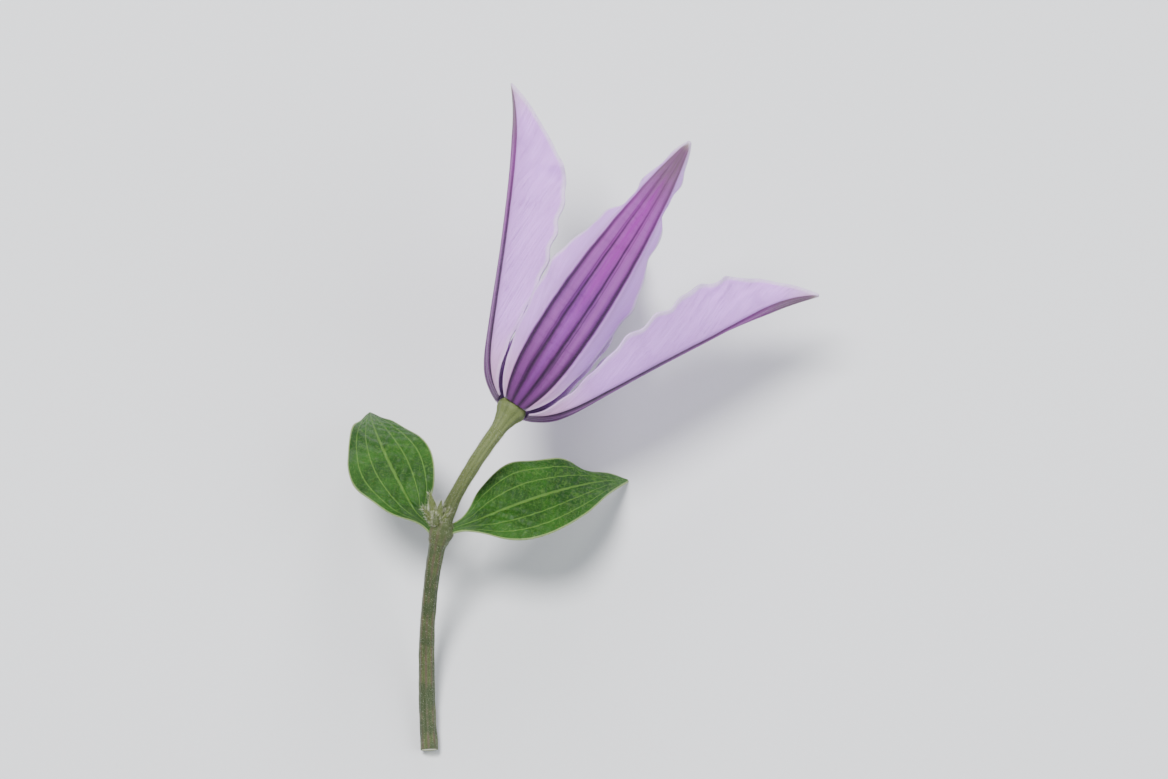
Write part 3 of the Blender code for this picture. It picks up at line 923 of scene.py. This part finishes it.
def stamen_material(settings):
    """Pale filaments, and tan anthers that are darker in the groove between their sacs."""
    material, tree, shader = new_material("stamen_skin", 0.55, Subsurface_Weight=0.1, Subsurface_Scale=0.0006)
    position = place(tree)
    cells, patches = tissue(tree, position, 5200, 500)
    foot = between(tree, mark(tree, "lengthways"), 0.0, 0.3)
    filament = mixed(tree, foot, (0.42, 0.50, 0.22), settings.filament)
    sac = mixed(tree, between(tree, mark(tree, "waist"), 0.95, 0.6), settings.anther, settings.anther_shade)
    pollen = tuple(min(1, 1.45 * c) for c in settings.anther)
    sac = mixed(tree, between(tree, cells, 0.4, 0.62, 0.0, 0.5), sac, pollen)
    colour = mixed(tree, mark(tree, "anther"), filament, sac)
    colour = mixed(tree, times(tree, patches, 0.3), colour, settings.silk)
    tree.links.new(colour, shader.inputs["Base Color"])
    rough = plus(tree, times(tree, mark(tree, "anther"), 0.3), 0.5)
    tree.links.new(rough, shader.inputs["Roughness"])
    relief(tree, shader, cells, 0.12 * MM, 0.7)
    return material


def style_material(settings):
    """Green at the foot, pale and downy in the middle, dusky at the tip."""
    material, tree, shader = new_material("style_skin", 0.5, Subsurface_Weight=0.1, Subsurface_Scale=0.0006)
    position = place(tree)
    cells, patches = tissue(tree, position, 4200, 420)
    stops = ((0, (0.30, 0.38, 0.14)), (0.3, settings.style), (1, (0.50, 0.42, 0.40)))
    colour = colour_along(tree, mark(tree, "lengthways"), stops)
    colour, _ = downy(tree, position, colour, settings.silk, 0.45)
    tree.links.new(colour, shader.inputs["Base Color"])
    tree.links.new(between(tree, patches, 0.3, 0.7, 0.45, 0.7), shader.inputs["Roughness"])
    relief(tree, shader, cells, 0.08 * MM, 0.6)
    return material


def hair_material(name, colour, roughness=0.45):
    """Hairs: a pale translucent colour with a little mottling."""
    material, tree, shader = new_material(name, roughness, Sheen_Weight=0.4, Specular_IOR_Level=0.3)
    cells, patches = tissue(tree, place(tree), 900, 120)
    shade = mixed(tree, between(tree, patches, 0.3, 0.7, 0.0, 0.5), colour, tuple(0.8 * c for c in colour))
    tree.links.new(shade, shader.inputs["Base Color"])
    tree.links.new(between(tree, cells, 0.3, 0.7, roughness, roughness + 0.2), shader.inputs["Roughness"])
    return material


class CLEMATIS_OT_centre(bpy.types.Operator):
    """Make the receptacle, the stamens and the styles"""

    bl_idname = "clematis.centre"
    bl_label = "Centre"

    def execute(self, context):
        settings = context.scene.clematis_centre
        stalk = stalk_material("receptacle_skin", context.scene.clematis_stalk, pale_end=(1.0, 2.0))
        add_piece("flower_receptacle", from_head(receptacle_solid()), stalk, "stalk", "receptacle")
        material = stamen_material(settings)
        random = np.random.default_rng(17)
        silk = []
        for ring, (name, cad_name, count, *shape) in enumerate(STAMEN_RINGS):
            for k in range(count):
                turn = 2 * math.pi * (k + 0.5 * ring) / count
                path, solid = stamen_solid(random, *shape)
                number = f"_{k + 1:02d}"
                add_piece(name + number, from_head(solid, turn), material, "stamen", cad_name + number)
                silk.append(from_head(stamen_hairs(random, path), turn))
        hair = hair_material("centre_silk", settings.silk)
        add_piece("stamen_silk", joined(silk), hair, "stamen")
        bars, silk = style_solids(settings)
        add_piece("styles", from_head(bars), style_material(settings), "pistil", "pistils")
        add_piece("style_silk", from_head(silk), hair, "pistil")
        return {"FINISHED"}


# ---------------------------------------------------------------- stalk


def stalk_path(places):
    """Points along the stalk, from the foot of the receptacle to the cut end on the floor."""
    x = BASE[0] + along(STALK_X, places) * MM
    y = BASE[1] + along(STALK_Y, places) * MM
    foot = STALK_RADIUS * STALK_THICKNESSES[-1][1]
    z = foot + (BASE[2] - foot) * along(STALK_HEIGHTS, places)
    return np.stack((x, y, z), -1)


def stalk_solid(settings):
    """A bar along the stalk's path with eight shallow ribs, a swollen node and a cut end.

    The ring's radius is the thickness there times one plus a cosine of eight times the angle. The
    node swells sideways to meet the feet of the leaves, with a raised ring above and below. The
    last rows draw in to the middle of the cut, which is a little hollow.
    """
    s = np.linspace(0, 1, settings.rows)
    angle = circle(settings.columns)
    radius = STALK_RADIUS * along(STALK_THICKNESSES, s)
    node_here = bump(s - NODE_PLACE, 0.035)
    round_ribs = np.cos(STALK_RIBS * angle + 0.4)[None, :]
    ribs = 0.05 * round_ribs * (1 - node_here)[:, None]
    sideways = 0.16 * node_here[:, None] * np.abs(np.cos(angle))[None, :] ** 3
    collar = 0.10 * (bump(s - NODE_PLACE + 0.028, 0.006) + bump(s - NODE_PLACE - 0.03, 0.005))[:, None]
    random = np.random.default_rng(5)
    uneven = 0.02 * ripples(random, s[:, None] * 4 + angle[None, :] * 0.16, 1, 4)
    radii = radius[:, None] * (1 + ribs + sideways + collar + uneven)
    path = stalk_path(s)
    ringed = rings(path, radii, radii, settings.columns, (0, 0, 1))

    inwards = np.array((0.985, 0.9, 0.72, 0.5, 0.28, 0.12))
    end = path[-1]
    hollow = unit(path[-2] - path[-1]) * MM
    caps = [end + (ringed[-1] - end) * k + hollow * 0.16 * (1 - k) ** 0.5 for k in inwards]
    ringed = np.concatenate((ringed, np.array(caps)))
    lengthways = np.concatenate((s, np.ones(len(inwards))))
    cut = np.concatenate((0 * s, np.array((0.05, 0.3, 0.55, 0.75, 0.9, 1.0))))
    marks = {
        "lengthways": lengthways[:, None],
        "round": round_ribs,
        "cut": cut[:, None],
    }
    return path, radii, bar(ringed, marks)


def stalk_material(name, settings, pale_end=(0.0, 0.55)):
    """Ribbed green skin, paler towards the flower, flushed purple brown on the ribs, with fine down."""
    material, tree, shader = new_material(name, 0.5, Specular_IOR_Level=0.28, Sheen_Weight=0.03)
    position = place(tree)
    cells, patches = tissue(tree, position, 3600, 330)
    lengthways, ridge = mark(tree, "lengthways"), mark(tree, "round")
    colour = mixed(tree, between(tree, lengthways, *pale_end), settings.pale, settings.dark)
    colour = mixed(tree, between(tree, patches, 0.4, 0.7, 0.0, 0.5), colour, settings.pale)
    flush = times(tree, between(tree, ridge, -0.2, 0.9), between(tree, patches, 0.35, 0.65))
    if pale_end[0] < 0.5:
        flush = times(tree, flush, between(tree, lengthways, 0.15, 0.5, 0.1, 0.65))
        colour = mixed(tree, flush, colour, settings.flush)
    colour = mixed(tree, between(tree, ridge, -0.3, -1.0, 0.0, 0.35), colour, settings.dark)
    colour, down = downy(tree, position, colour, settings.down, 0.15)
    if pale_end[0] < 0.5:
        stops = ((0.0, settings.dark), (0.12, settings.pale), (0.4, settings.pith), (1.0, (0.78, 0.78, 0.62)))
        pith = colour_along(tree, mark(tree, "cut"), stops)
        colour = mixed(tree, between(tree, mark(tree, "cut"), 0.0, 0.1), colour, pith)
    tree.links.new(colour, shader.inputs["Base Color"])
    tree.links.new(between(tree, cells, 0.3, 0.7, 0.42, 0.66), shader.inputs["Roughness"])
    height = plus(tree, times(tree, cells, 0.6), times(tree, down, 0.5))
    relief(tree, shader, height, 0.14 * MM, 0.8)
    return material


def stalk_down(path, radii, random):
    """Short hairs all over the stalk, thicker towards the flower and at the node."""
    s = random.random(DOWN_HAIRS) ** 1.25
    index = np.clip((s * (len(path) - 1)).astype(int), 1, len(path) - 2)
    angle = random.uniform(0, 2 * math.pi, DOWN_HAIRS)
    tangent = unit(path[index + 1] - path[index - 1])
    side = unit(np.cross(tangent, (0, 0, 1)))
    top = np.cross(side, tangent)
    away = side * np.cos(angle)[:, None] + top * np.sin(angle)[:, None]
    column = (angle / (2 * math.pi) * radii.shape[1]).astype(int) % radii.shape[1]
    roots = path[index] + away * (radii[index, column] * 0.97)[:, None]
    aim = away + 0.3 * random.normal(0, 1, (DOWN_HAIRS, 3))
    lengths = random.uniform(0.25, 0.6, DOWN_HAIRS) * MM
    return hairs(roots, aim, lengths, DOWN_RADIUS)


def bud_solids():
    """A tuft of young leaves in the corner of the node, and the silky hairs on it.

    Each young leaf is a flattened spindle: its radius is a sine of the way along, raised to a power
    so that it is widest near its foot, and its path bends upwards by the square of the way along.
    """
    random = np.random.default_rng(71)
    foot = stalk_path(np.array([NODE_PLACE]))[0] + np.array(BUD_PLACE) * MM
    s = np.linspace(0, 1, BUD_GRID[0])
    spread = 0.10 + np.sin(math.pi * s**0.7)
    ridges = np.cos(np.arange(BUD_GRID[1]) * math.pi / 2)[None, :]
    lobes, roots, aims = [], [], []
    for heading, pitch, length, width in BUD_LOBES:
        course, rise = math.radians(heading), math.radians(pitch)
        level = math.cos(rise)
        aim = np.array((math.sin(course) * level, math.cos(course) * level, math.sin(rise)))
        path = foot + (aim * length * s[:, None] + np.array((0, 0, 1.1)) * s[:, None] ** 2) * MM
        ringed = rings(path, spread * width / 2 * MM, spread * width / 3.4 * MM, BUD_GRID[1], (0, 0, 1))
        lobes.append(bar(ringed, {"lengthways": s[:, None], "round": ridges}))
        row = random.integers(2, len(s) - 1, BUD_HAIRS)
        column = random.integers(0, BUD_GRID[1], BUD_HAIRS)
        root = ringed[row, column]
        roots.append(root)
        aims.append(unit(root - path[row]) * 0.7 + aim * 0.9 + random.normal(0, 0.22, (BUD_HAIRS, 3)))
    roots, aims = np.concatenate(roots), np.concatenate(aims)
    lengths = random.uniform(0.5, 1.2, len(roots)) * MM
    return joined(lobes), hairs(roots, aims, lengths, SILK_RADIUS)


class CLEMATIS_OT_stalk(bpy.types.Operator):
    """Make the stalk with its down, and the bud at its node"""

    bl_idname = "clematis.stalk"
    bl_label = "Stalk"

    def execute(self, context):
        settings = context.scene.clematis_stalk
        path, radii, solid = stalk_solid(settings)
        material = stalk_material("stalk_skin", settings)
        add_piece("stalk", solid, material, "stalk", "flower_stalk")
        down = stalk_down(path, radii, np.random.default_rng(23))
        add_piece("stalk_down", down, hair_material("stalk_hair", settings.down), "stalk")
        bud, silk = bud_solids()
        add_piece("node_bud", bud, stalk_material("bud_skin", settings, pale_end=(1.0, 2.0)), "stalk")
        add_piece("node_bud_silk", silk, hair_material("bud_hair", settings.bud_silk), "stalk")
        return {"FINISHED"}


# ---------------------------------------------------------------- leaves


def leaf_solid(settings, start, heading, length, pitch_foot, pitch_tip, curve, seed):
    """A leaf folded along its midrib, arching from its foot to a tip on the floor.

    The veins are valleys on the upper side and ridges below: the midrib, and side veins that keep a
    fixed share of the width, so that they run from foot to tip. Between them the blade is puckered,
    and its edge waves gently.
    """
    random = np.random.default_rng(seed)
    s = np.linspace(0, 1, settings.rows)
    pitch = np.radians(pitch_foot + (pitch_tip - pitch_foot) * s)
    course = np.radians(heading + curve * s)
    step = np.full(len(s) - 1, length * MM / (len(s) - 1))
    direction = np.stack((np.sin(course) * np.cos(pitch), np.cos(course) * np.cos(pitch), np.sin(pitch)), -1)
    midrib = start + running_sum(direction, step[:, None], 0)
    foot = LEAF_FOOT_REACH * (1 - smooth_step(s * 7))
    midrib = midrib - np.stack((foot * math.copysign(1, heading), 0 * s, 0 * s), -1)
    sideways = np.stack((np.cos(course), -np.sin(course), 0 * s), -1)
    upwards = np.cross(sideways, direction)

    v = np.linspace(-1, 1, settings.columns)[None, :]
    width = np.abs(v)
    half = (along(LEAF_HALF_WIDTHS, s) * MM)[:, None]
    across = v * half * math.cos(LEAF_FOLD)
    lift = width * half * math.sin(LEAF_FOLD) * (1 - 0.55 * width)
    blade_here = (smooth_step((s - 0.08) * 9) * smooth_step((1 - s) * 3))[:, None]
    edges = [ripples(random, s, 1.5, 4)[:, None] for _ in "lr"]
    left = (v < 0).astype(float)
    lift = lift + (edges[0] * left + edges[1] * (1 - left)) * width**3 * 0.9 * MM * blade_here

    places = s[:, None] * length + 0 * v
    pucker = ripples(random, places * 0.35 + v * 2.6, 0.6, 1.3, 6) * 0.5
    pucker = pucker + ripples(random, places * 0.35 - v * 3.1 + 4, 0.6, 1.3, 6) * 0.5
    veins = bump(v, 0.035) * 1.4 + sum(bump(width - place, 0.02) for place in LEAF_SIDE_VEINS)
    between_veins = smooth_step((1 - veins)) * blade_here * (1 - width**6)

    def placed(height):
        return midrib[:, None] + across[..., None] * sideways[:, None] + height[..., None] * upwards[:, None]

    swell = pucker * 0.22 * MM * between_veins
    flat = placed(lift)
    sink = flat[..., 2].min() * s[:, None] ** 2
    thickness = settings.edge_thickness + (settings.thickness - settings.edge_thickness) * (1 - v**2)
    under = placed(lift + swell - veins * 0.20 * MM * blade_here)
    upper = placed(lift + swell + thickness - veins * 0.13 * MM * blade_here)
    under[..., 2] -= sink
    upper[..., 2] -= sink
    marks = {"edge": (1 - width) * half / MM, "veins": veins, "underside": (0, 1)}
    return blade(upper, under, marks)


def leaf_material(settings):
    """Green blade with pale veins, a net of small ones between them, and a thin pale edge."""
    material, tree, shader = new_material(
        "leaf_skin", 0.5, Specular_IOR_Level=0.25, Subsurface_Weight=0.06, Subsurface_Scale=0.001
    )
    position = place(tree)
    cells, patches = tissue(tree, position, 3000, 170)
    warp = node(tree, "ShaderNodeTexNoise", {"Vector": position, "Scale": 420.0, "Detail": 2.0}).outputs[1]
    small = node(tree, "ShaderNodeVectorMath", {0: warp, "Scale": 0.9 * MM}, operation="SCALE").outputs[0]
    warped = node(tree, "ShaderNodeVectorMath", {0: position, 1: warp, 2: small}, operation="MULTIPLY_ADD")
    inputs = {"Vector": warped.outputs[0], "Scale": 520.0}
    net = node(tree, "ShaderNodeTexVoronoi", inputs, feature="DISTANCE_TO_EDGE").outputs["Distance"]
    net = between(tree, net, 0.11, 0.02)
    veins = between(tree, mark(tree, "veins"), 0.25, 0.85)

    upper = mixed(tree, between(tree, patches, 0.35, 0.68), settings.upper, settings.upper_light)
    upper = mixed(tree, between(tree, cells, 0.35, 0.7, 0.0, 0.25), upper, settings.upper_light)
    upper = mixed(tree, times(tree, net, 0.38), upper, settings.vein)
    upper = mixed(tree, times(tree, veins, 0.8), upper, settings.vein)
    under = mixed(tree, between(tree, patches, 0.3, 0.7, 0.0, 0.5), settings.under, settings.upper_light)
    under = mixed(tree, maths(tree, "MAXIMUM", times(tree, net, 0.5), veins), under, settings.vein)
    colour = mixed(tree, mark(tree, "underside"), upper, under)
    colour = mixed(tree, between(tree, mark(tree, "edge"), 0.38, 0.14, 0.0, 0.7), colour, settings.margin)
    tree.links.new(colour, shader.inputs["Base Color"])
    duller = times(tree, mark(tree, "underside"), 0.2)
    rough = plus(tree, between(tree, cells, 0.3, 0.7, 0.44, 0.62), duller)
    tree.links.new(rough, shader.inputs["Roughness"])
    height = maths(tree, "SUBTRACT", times(tree, cells, 0.3), times(tree, net, 0.5))
    relief(tree, shader, height, 0.16 * MM, 0.8)
    return material


class CLEMATIS_OT_leaves(bpy.types.Operator):
    """Make the pair of leaves"""

    bl_idname = "clematis.leaves"
    bl_label = "Leaves"

    def execute(self, context):
        settings = context.scene.clematis_leaves
        material = leaf_material(settings)
        at_node = stalk_path(np.array([NODE_PLACE]))[0]
        swelling = STALK_RADIUS * max(width for _, width in STALK_THICKNESSES)
        foot = LEAF_HALF_WIDTHS[0][1] * MM
        for seed, (name, cad_node, heading, *shape) in enumerate(LEAVES):
            clear = swelling - 0.1 * MM + foot * math.cos(math.radians(heading))
            start = at_node + np.array((math.copysign(clear, heading), 0, 0))
            solid = leaf_solid(settings, start, heading, *shape, seed + 60)
            add_piece(name, solid, material, "leaf", cad_node)
        return {"FINISHED"}


# ---------------------------------------------------------------- stage


def area_light(target, name, place_at, width, power, colour):
    """A round lamp that faces a target."""
    lamp = bpy.data.lights.new(name, "AREA")
    lamp.shape = "DISK"
    lamp.size = width
    lamp.energy = power
    lamp.color = colour
    light = bpy.data.objects.new(name, lamp)
    light.location = place_at
    light.rotation_euler = (target - Vector(place_at)).to_track_quat("-Z", "Y").to_euler()
    bpy.context.scene.collection.objects.link(light)


class CLEMATIS_OT_stage(bpy.types.Operator):
    """Make the floor, the lights and the camera"""

    bl_idname = "clematis.stage"
    bl_label = "Stage"

    def execute(self, context):
        settings = context.scene.clematis_stage
        scene = context.scene
        low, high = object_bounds()
        middle = (low + high) / 2

        mesh = bpy.data.meshes.new("floor")
        corners = [(x * FLOOR_REACH, y * FLOOR_REACH, 0) for x, y in ((-1, -1), (1, -1), (1, 1), (-1, 1))]
        mesh.from_pydata(corners, [], [(0, 1, 2, 3)])
        material, tree, shader = new_material("floor_paper", 0.85)
        fibres = noise(tree, place(tree), 900, 4, 0.6)
        darker = tuple(0.96 * c for c in settings.floor)
        shade = mixed(tree, between(tree, fibres, 0.3, 0.7, 0.0, 0.25), settings.floor, darker)
        tree.links.new(shade, shader.inputs["Base Color"])
        mesh.materials.append(material)
        floor = bpy.data.objects.new("floor", mesh)
        scene.collection.objects.link(floor)
        floor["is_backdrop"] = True

        for light in LIGHTS:
            area_light(middle, *light)
        world = bpy.data.worlds.new("studio")
        world.use_nodes = True
        world.node_tree.nodes["Background"].inputs[0].default_value = WORLD_TINT
        world.node_tree.nodes["Background"].inputs[1].default_value = WORLD_STRENGTH
        scene.world = world

        data = bpy.data.cameras.new("camera")
        data.lens = settings.lens
        data.sensor_width = 36
        camera = bpy.data.objects.new("camera", data)
        scene.collection.objects.link(camera)
        tilt = settings.elevation
        back = Vector((0, -math.cos(tilt), math.sin(tilt)))
        up = Vector((0, math.sin(tilt), math.cos(tilt)))
        corners = [Vector((x, y, z)) for x in (low.x, high.x) for y in (low.y, high.y) for z in (low.z, high.z)]
        heights = [corner.dot(up) for corner in corners]
        tall = (max(heights) - min(heights)) * settings.margin
        aim = Vector((middle.x, 0, 0)) + up * (max(heights) + min(heights)) / 2
        frame_height = data.sensor_width * FRAME_SHAPE
        distance = tall / 2 / (frame_height / 2 / data.lens) + middle.dot(back)
        camera.location = aim + back * distance
        camera.rotation_mode = "QUATERNION"
        camera.rotation_quaternion = (-back).to_track_quat("-Z", "Y")
        data.clip_start, data.clip_end = CAMERA_CLIP
        scene.camera = camera
        return {"FINISHED"}


class CLEMATIS_PT_panel(bpy.types.Panel):
    """One button for each group of pieces, and one for the stage"""

    bl_label = "Clematis"
    bl_idname = "CLEMATIS_PT_panel"
    bl_space_type = "VIEW_3D"
    bl_region_type = "UI"
    bl_category = "Clematis"

    def draw(self, context):
        for operator in OPERATORS:
            self.layout.operator(operator.bl_idname)


OPERATORS = (
    CLEMATIS_OT_tepals,
    CLEMATIS_OT_centre,
    CLEMATIS_OT_stalk,
    CLEMATIS_OT_leaves,
    CLEMATIS_OT_stage,
)
GROUPS = {
    "clematis_tepals": TepalSettings,
    "clematis_centre": CentreSettings,
    "clematis_stalk": StalkSettings,
    "clematis_leaves": LeafSettings,
    "clematis_stage": StageSettings,
}


def register():
    for group in GROUPS.values():
        bpy.utils.register_class(group)
    for name, group in GROUPS.items():
        setattr(bpy.types.Scene, name, PointerProperty(type=group))
    for cls in (*OPERATORS, CLEMATIS_PT_panel):
        bpy.utils.register_class(cls)


def unregister():
    for cls in (CLEMATIS_PT_panel, *reversed(OPERATORS)):
        bpy.utils.unregister_class(cls)
    for name in GROUPS:
        delattr(bpy.types.Scene, name)
    for group in reversed(GROUPS.values()):
        bpy.utils.unregister_class(group)


def main():
    """Builds everything."""
    register()
    bpy.ops.clematis.tepals()
    bpy.ops.clematis.centre()
    bpy.ops.clematis.stalk()
    bpy.ops.clematis.leaves()
    bpy.ops.clematis.stage()


if __name__ == "__main__":
    main()
